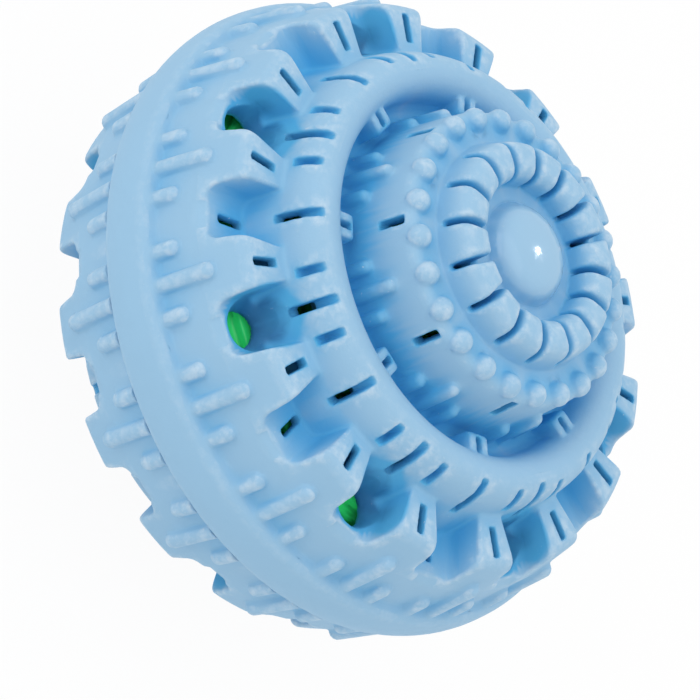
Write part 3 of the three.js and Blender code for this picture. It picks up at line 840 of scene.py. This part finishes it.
def noise_of(material, scale, detail=2.0, roughness=0.5):
    place = node(material, "ShaderNodeTexCoord")
    grain = node(material, "ShaderNodeTexNoise")
    grain.inputs["Scale"].default_value = scale
    grain.inputs["Detail"].default_value = detail
    grain.inputs["Roughness"].default_value = roughness
    link(material, place.outputs["Object"], grain.inputs["Vector"])
    return grain.outputs["Fac"]


def ramp(material, value, low, high, start=0.0, end=1.0):
    spread = node(material, "ShaderNodeMapRange", clamp=True)
    spread.inputs["From Min"].default_value = low
    spread.inputs["From Max"].default_value = high
    spread.inputs["To Min"].default_value = start
    spread.inputs["To Max"].default_value = end
    link(material, value, spread.inputs["Value"])
    return spread.outputs["Result"]


def eased(material, value, low, high):
    """A ramp with soft ends."""
    spread = node(material, "ShaderNodeMapRange", clamp=True, interpolation_type="SMOOTHSTEP")
    spread.inputs["From Min"].default_value = low
    spread.inputs["From Max"].default_value = high
    link(material, value, spread.inputs["Value"])
    return spread.outputs["Result"]


def mixed(material, factor, first, second):
    """Mix two colours. Each is a plain colour or another node's output."""
    mix = node(material, "ShaderNodeMix", data_type="RGBA")
    link(material, factor, mix.inputs["Factor"])
    for name, value in (("A", first), ("B", second)):
        socket = [i for i in mix.inputs if i.name == name and i.type == "RGBA"][0]
        if isinstance(value, bpy.types.NodeSocket):
            link(material, value, socket)
        else:
            socket.default_value = (*value, 1.0)
    return [o for o in mix.outputs if o.type == "RGBA"][0]


def bump_of(material, shader, height, strength, distance):
    bump = node(material, "ShaderNodeBump")
    bump.inputs["Strength"].default_value = strength
    bump.inputs["Distance"].default_value = distance
    link(material, height, bump.inputs["Height"])
    link(material, bump.outputs["Normal"], shader.inputs["Normal"])


def math_of(material, operation, first, second):
    made = node(material, "ShaderNodeMath", operation=operation)
    for socket, value in zip(made.inputs, (first, second)):
        if isinstance(value, bpy.types.NodeSocket):
            link(material, value, socket)
        else:
            socket.default_value = value
    return made.outputs["Value"]


def rubber_finish(colours, button_radius):
    """Soft matt rubber, painted shade in its hollows, frost and painted highlight on open edges, moulded
    grain, polished button.
    """
    material, shader = new_material("light_blue_rubber")
    hollow = node(material, "ShaderNodeAttribute", attribute_name="hollow").outputs["Fac"]
    shade = node(material, "ShaderNodeAttribute", attribute_name="shade").outputs["Fac"]
    place = node(material, "ShaderNodeTexCoord")
    flat = node(material, "ShaderNodeVectorMath", operation="MULTIPLY")
    flat.inputs[1].default_value = (1.0, 1.0, 0.0)
    link(material, place.outputs["Object"], flat.inputs[0])
    reach = node(material, "ShaderNodeVectorMath", operation="LENGTH")
    link(material, flat.outputs["Vector"], reach.inputs[0])
    coarse = ramp(material, reach.outputs["Value"], button_radius * 0.95, button_radius * 1.15)
    # Painted shade: the colour deepens with the shade kept on each vertex, and turns dark navy in slots and
    # bowls
    deep = eased(material, shade, 0.03, 0.39)
    base = mixed(material, deep, tuple(colours.rubber), tuple(colours.rubber_painted_shade))
    painted_gloom = eased(material, shade, 0.58, 0.95)
    base = mixed(material, painted_gloom, base, PAINTED_GLOOM)
    cloudy = ramp(material, noise_of(material, 90.0, 3.0), 0.35, 0.7, 0.0, 0.12)
    clouded = mixed(material, cloudy, base, tuple(c * 0.86 for c in colours.rubber))
    # Frost, partly painted highlight: open convex edges whiten in mottled patches, only where little shade
    # falls
    edge = ramp(material, hollow, 0.485, 0.42)
    edge = math_of(material, "MULTIPLY", edge, ramp(material, hollow, 0.28, 0.36, 0.4, 1.0))
    mottle = ramp(material, noise_of(material, 620.0, 3.0, 0.6), 0.42, 0.66, 0.06, 0.5)
    open_air = ramp(material, shade, 0.10, 0.24, 1.0, 0.0)
    open_air = math_of(material, "MULTIPLY", open_air, coarse)
    frost_and_sheen = math_of(material, "MULTIPLY", math_of(material, "MULTIPLY", edge, mottle), open_air)
    frosted_and_lit = mixed(material, frost_and_sheen, clouded, FROST_AND_SHEEN)
    specks = ramp(material, noise_of(material, 1500.0, 2.0), 0.70, 0.76, 0.0, 0.5)
    specks = math_of(material, "MULTIPLY", specks, ramp(material, hollow, 0.5, 0.36))
    link(material, mixed(material, specks, frosted_and_lit, SPECK), shader.inputs["Base Color"])
    link(material, ramp(material, coarse, 0.0, 1.0, 0.5, 0.28), shader.inputs["Specular IOR Level"])
    polish = ramp(material, coarse, 0.0, 1.0, 0.04, 0.56)
    rough = ramp(material, noise_of(material, 400.0), 0.3, 0.7, -0.01, 0.04)
    link(material, math_of(material, "ADD", polish, rough), shader.inputs["Roughness"])
    proud = ramp(material, hollow, 0.485, 0.42, 0.0, 4.0)
    lumps = math_of(material, "MULTIPLY", noise_of(material, 620.0, 3.0, 0.6), proud)
    grain = math_of(material, "ADD", noise_of(material, 2600.0, 2.0, 0.6), lumps)
    bump_of(material, shader, math_of(material, "MULTIPLY", grain, coarse), 0.14, 0.0002)
    return material


def basket_finish(colours):
    """Glossy moulded plastic, with painted shade between its rings and a painted glow where the windows open
    onto it.
    """
    material, shader = new_material("green_plastic")
    hollow = node(material, "ShaderNodeAttribute", attribute_name="hollow").outputs["Fac"]
    # Painted shade: the basket darkens in the hollows between its rings
    deep = ramp(material, hollow, 0.5, 0.8, 0.0, 0.9)
    base = mixed(material, deep, tuple(colours.basket), tuple(c * 0.3 for c in colours.basket))
    cloudy = ramp(material, noise_of(material, 160.0, 3.0), 0.4, 0.7, 0.0, 0.2)
    tint = mixed(material, cloudy, base, BASKET_CLOUD)
    link(material, tint, shader.inputs["Base Color"])
    # Painted glow: the basket gives off light of its own colour where it lies under a window
    link(material, tint, shader.inputs["Emission Color"])
    lit = node(material, "ShaderNodeAttribute", attribute_name="lit").outputs["Fac"]
    link(material, ramp(material, lit, 0.0, 1.0, 0.0, 0.26), shader.inputs["Emission Strength"])
    gloss = ramp(material, noise_of(material, 300.0), 0.3, 0.7, 0.26, 0.36)
    link(material, gloss, shader.inputs["Roughness"])
    bump_of(material, shader, noise_of(material, 900.0, 2.0), 0.06, 0.0002)
    return material


def bead_finish(name, tint):
    """Unglazed fired clay, mottled and lightly pitted."""
    material, shader = new_material(name)
    mottle = ramp(material, noise_of(material, 520.0, 4.0, 0.65), 0.35, 0.68, 0.0, 0.45)
    body = mixed(material, mottle, tuple(tint), tuple(c * 0.62 for c in tint))
    fleck = ramp(material, noise_of(material, 2400.0, 2.0), 0.62, 0.7, 0.0, 0.6)
    pale = tuple(min(1.0, c * 1.3 + 0.03) for c in tint)
    link(material, mixed(material, fleck, body, pale), shader.inputs["Base Color"])
    rough = ramp(material, noise_of(material, 900.0, 3.0), 0.3, 0.7, 0.62, 0.85)
    link(material, rough, shader.inputs["Roughness"])
    bump_of(material, shader, noise_of(material, 1700.0, 4.0, 0.7), 0.35, 0.0003)
    return material


# Placing


def finished(bm, name, material, body, nodes):
    """Smooth a piece's faces, give it its material and hand it to its body."""
    for face in bm.faces:
        face.smooth = True
    obj = object_of(bm, name)
    obj.data.materials.append(material)
    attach(obj, body)
    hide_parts(*nodes)
    return obj


def seated(bm, lift, turned_over):
    """Turn a half over about the X axis if it is the rear one, and set its belt plane at a height."""
    if turned_over:
        bmesh.ops.rotate(bm, verts=bm.verts, cent=(0, 0, 0), matrix=Matrix.Rotation(math.pi, 3, "X"))
    bmesh.ops.translate(bm, verts=bm.verts, vec=(0, 0, lift))
    bmesh.ops.scale(bm, verts=bm.verts, vec=(MM, MM, MM))
    return bm


class BALL_OT_shells(Operator):
    """Build the two moulded rubber half shells"""

    bl_idname = "laundry_ball.shells"
    bl_label = "Half shells"

    def execute(self, context):
        s = in_millimetres(context.scene.ball_shell)
        b = in_millimetres(context.scene.ball_basket)
        rubber = rubber_finish(context.scene.ball_finishes, context.scene.ball_shell.button_radius)
        front = seated(front_half(s, b), s.half_height, False)
        finished(front, "front_half_shell", rubber, "front_half", ["front_shell"])
        rear = seated(rear_half(s, b), s.half_height, True)
        finished(rear, "rear_half_shell", rubber, "rear_half", ["rear_shell"])
        return {"FINISHED"}


class BALL_OT_baskets(Operator):
    """Build the two halves of the ribbed basket"""

    bl_idname = "laundry_ball.baskets"
    bl_label = "Basket halves"

    def execute(self, context):
        s = in_millimetres(context.scene.ball_shell)
        b = in_millimetres(context.scene.ball_basket)
        green = basket_finish(context.scene.ball_finishes)
        front = seated(half_basket(b, s.softness), s.half_height, False)
        finished(front, "front_half_basket", green, "basket_lid", ["front_basket"])
        rear = seated(half_basket(b, s.softness), s.half_height, True)
        finished(rear, "rear_half_basket", green, "rear_half", ["rear_basket"])
        return {"FINISHED"}


class BALL_OT_beads(Operator):
    """Build the loose ceramic beads, each in the place of its solid"""

    bl_idname = "laundry_ball.beads"
    bl_label = "Ceramic beads"

    def execute(self, context):
        wobble = context.scene.ball_beads.wobble
        colours = context.scene.ball_finishes
        kinds = ("bead_white", "bead_beige", "bead_red", "bead_grey")
        looks = [bead_finish(kind + "_clay", getattr(colours, kind)) for kind in kinds]
        names = sorted(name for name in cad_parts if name.startswith("bead_"))
        for seed, name in enumerate(names):
            low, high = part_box(name)
            ring, place = (int(part) for part in name.split("_")[1:])
            kind = (ring + place - 1) % len(kinds)
            piece = bead((low + high) / 2, (high.z - low.z) / 2 - wobble / 2, wobble, seed)
            body = "outer_beads" if ring == 2 else "inner_beads"
            finished(piece, "clay_" + name, looks[kind], body, [name])
        return {"FINISHED"}


class BALL_OT_stage(Operator):
    """Set the floor, the lights and the camera"""

    bl_idname = "laundry_ball.stage"
    bl_label = "Stage"

    def execute(self, context):
        scene = context.scene
        scene.view_settings.view_transform = "Standard"
        centre = Vector((0.0, 0.0, scene.ball_shell.half_height))
        lay_floor(tuple(scene.ball_finishes.floor))
        light_world()
        add_lamp("top_softbox", centre + Vector((0.1, 0.0, 1.0)), centre, 1.0, 1.0, 1.7)
        add_lamp("key_softbox", centre + Vector((0.95, 0.10, 0.5)), centre, 0.9, 0.9, 2.7)
        add_lamp("button_softbox", centre + Vector(BUTTON_GLINT) * 0.9, centre, 0.013, 0.024, 0.2)
        add_camera(centre)
        return {"FINISHED"}


def lay_floor(tint):
    bm = bmesh.new()
    bmesh.ops.create_circle(bm, cap_ends=True, segments=96, radius=4.0)
    bmesh.ops.translate(bm, verts=bm.verts, vec=(0, 0, -0.1 * MM))
    floor = object_of(bm, "studio_floor")
    material, shader = new_material("pale_floor")
    shader.inputs["Roughness"].default_value = 0.9
    shader.inputs["Specular IOR Level"].default_value = 0.0
    paper = mixed(material, noise_of(material, 8.0), tint, tuple(c * 0.99 for c in tint))
    link(material, paper, shader.inputs["Base Color"])
    glow = node(material, "ShaderNodeEmission")
    glow.inputs["Strength"].default_value = 1.0
    seen = math_of(material, "MULTIPLY", seen_rays(material), 0.95)
    both = node(material, "ShaderNodeMixShader")
    link(material, seen, both.inputs["Fac"])
    link(material, shader.outputs["BSDF"], both.inputs[1])
    link(material, glow.outputs["Emission"], both.inputs[2])
    output = [n for n in material.node_tree.nodes if n.type == "OUTPUT_MATERIAL"][0]
    link(material, both.outputs["Shader"], output.inputs["Surface"])
    floor.data.materials.append(material)


def seen_rays(owner):
    """1 for what the camera sees, straight or by a reflection or through glass, and 0 for light."""
    path = node(owner, "ShaderNodeLightPath")
    seen = path.outputs["Is Camera Ray"]
    for name in ("Is Glossy Ray", "Is Transmission Ray"):
        seen = math_of(owner, "MAXIMUM", seen, path.outputs[name])
    return seen


def light_world():
    world = bpy.data.worlds.new("studio")
    bpy.context.scene.world = world
    world.use_nodes = True
    background = [n for n in world.node_tree.nodes if n.type == "BACKGROUND"][0]
    background.inputs["Color"].default_value = (1.0, 1.0, 1.0, 1.0)
    place = node(world, "ShaderNodeTexCoord")
    height = node(world, "ShaderNodeVectorMath", operation="DOT_PRODUCT")
    height.inputs[1].default_value = LIGHT_SIDE
    link(world, place.outputs["Generated"], height.inputs[0])
    soft = ramp(world, height.outputs["Value"], -1.0, 1.0, 0.58, 0.86)
    link(world, math_of(world, "MAXIMUM", soft, seen_rays(world)), background.inputs["Strength"])


def add_lamp(name, place, target, width, height, power):
    lamp = bpy.data.lights.new(name, "AREA")
    lamp.shape = "RECTANGLE"
    lamp.size = width
    lamp.size_y = height
    lamp.energy = power
    obj = bpy.data.objects.new(name, lamp)
    obj.location = place
    obj.rotation_euler = (target - place).to_track_quat("-Z", "Y").to_euler()
    bpy.context.scene.collection.objects.link(obj)


def add_camera(centre):
    """The camera stands off the front face and is rolled, as the ball was photographed."""
    data = bpy.data.cameras.new("camera")
    data.sensor_width = 36.0
    data.lens = CAMERA_LENS
    data.clip_start = 0.01
    right = Vector(CAMERA_RIGHT).normalized()
    back = Vector(CAMERA_BACK).normalized()
    up = back.cross(right).normalized()
    right = up.cross(back)
    turned = Matrix((right, up, back)).transposed().to_4x4()
    camera = bpy.data.objects.new("camera", data)
    camera.matrix_world = Matrix.Translation(centre + Vector(CAMERA_PLACE)) @ turned
    bpy.context.scene.collection.objects.link(camera)
    bpy.context.scene.camera = camera


class BALL_PT_panel(Panel):
    """Lists the ball's pieces and sizes"""

    bl_idname = "BALL_PT_panel"
    bl_label = "Laundry Ball"
    bl_space_type = "VIEW_3D"
    bl_region_type = "UI"
    bl_category = "Laundry Ball"

    def draw(self, context):
        for operator in OPERATORS:
            self.layout.operator(operator.bl_idname)
        for name, kind in GROUPS.items():
            box = self.layout.box()
            for prop in kind.__annotations__:
                box.prop(getattr(context.scene, name), prop)


GROUPS = {
    "ball_shell": ShellSizes,
    "ball_basket": BasketSizes,
    "ball_beads": BeadSizes,
    "ball_finishes": Finishes,
}
OPERATORS = (BALL_OT_shells, BALL_OT_baskets, BALL_OT_beads, BALL_OT_stage)


def register():
    for kind in (*GROUPS.values(), *OPERATORS, BALL_PT_panel):
        bpy.utils.register_class(kind)
    for name, kind in GROUPS.items():
        setattr(bpy.types.Scene, name, PointerProperty(type=kind))


def unregister():
    for name in GROUPS:
        delattr(bpy.types.Scene, name)
    for kind in reversed((*GROUPS.values(), *OPERATORS, BALL_PT_panel)):
        bpy.utils.unregister_class(kind)


def main():
    register()
    bpy.ops.laundry_ball.shells()
    bpy.ops.laundry_ball.baskets()
    bpy.ops.laundry_ball.beads()
    bpy.ops.laundry_ball.stage()


if __name__ == "__main__":
    main()
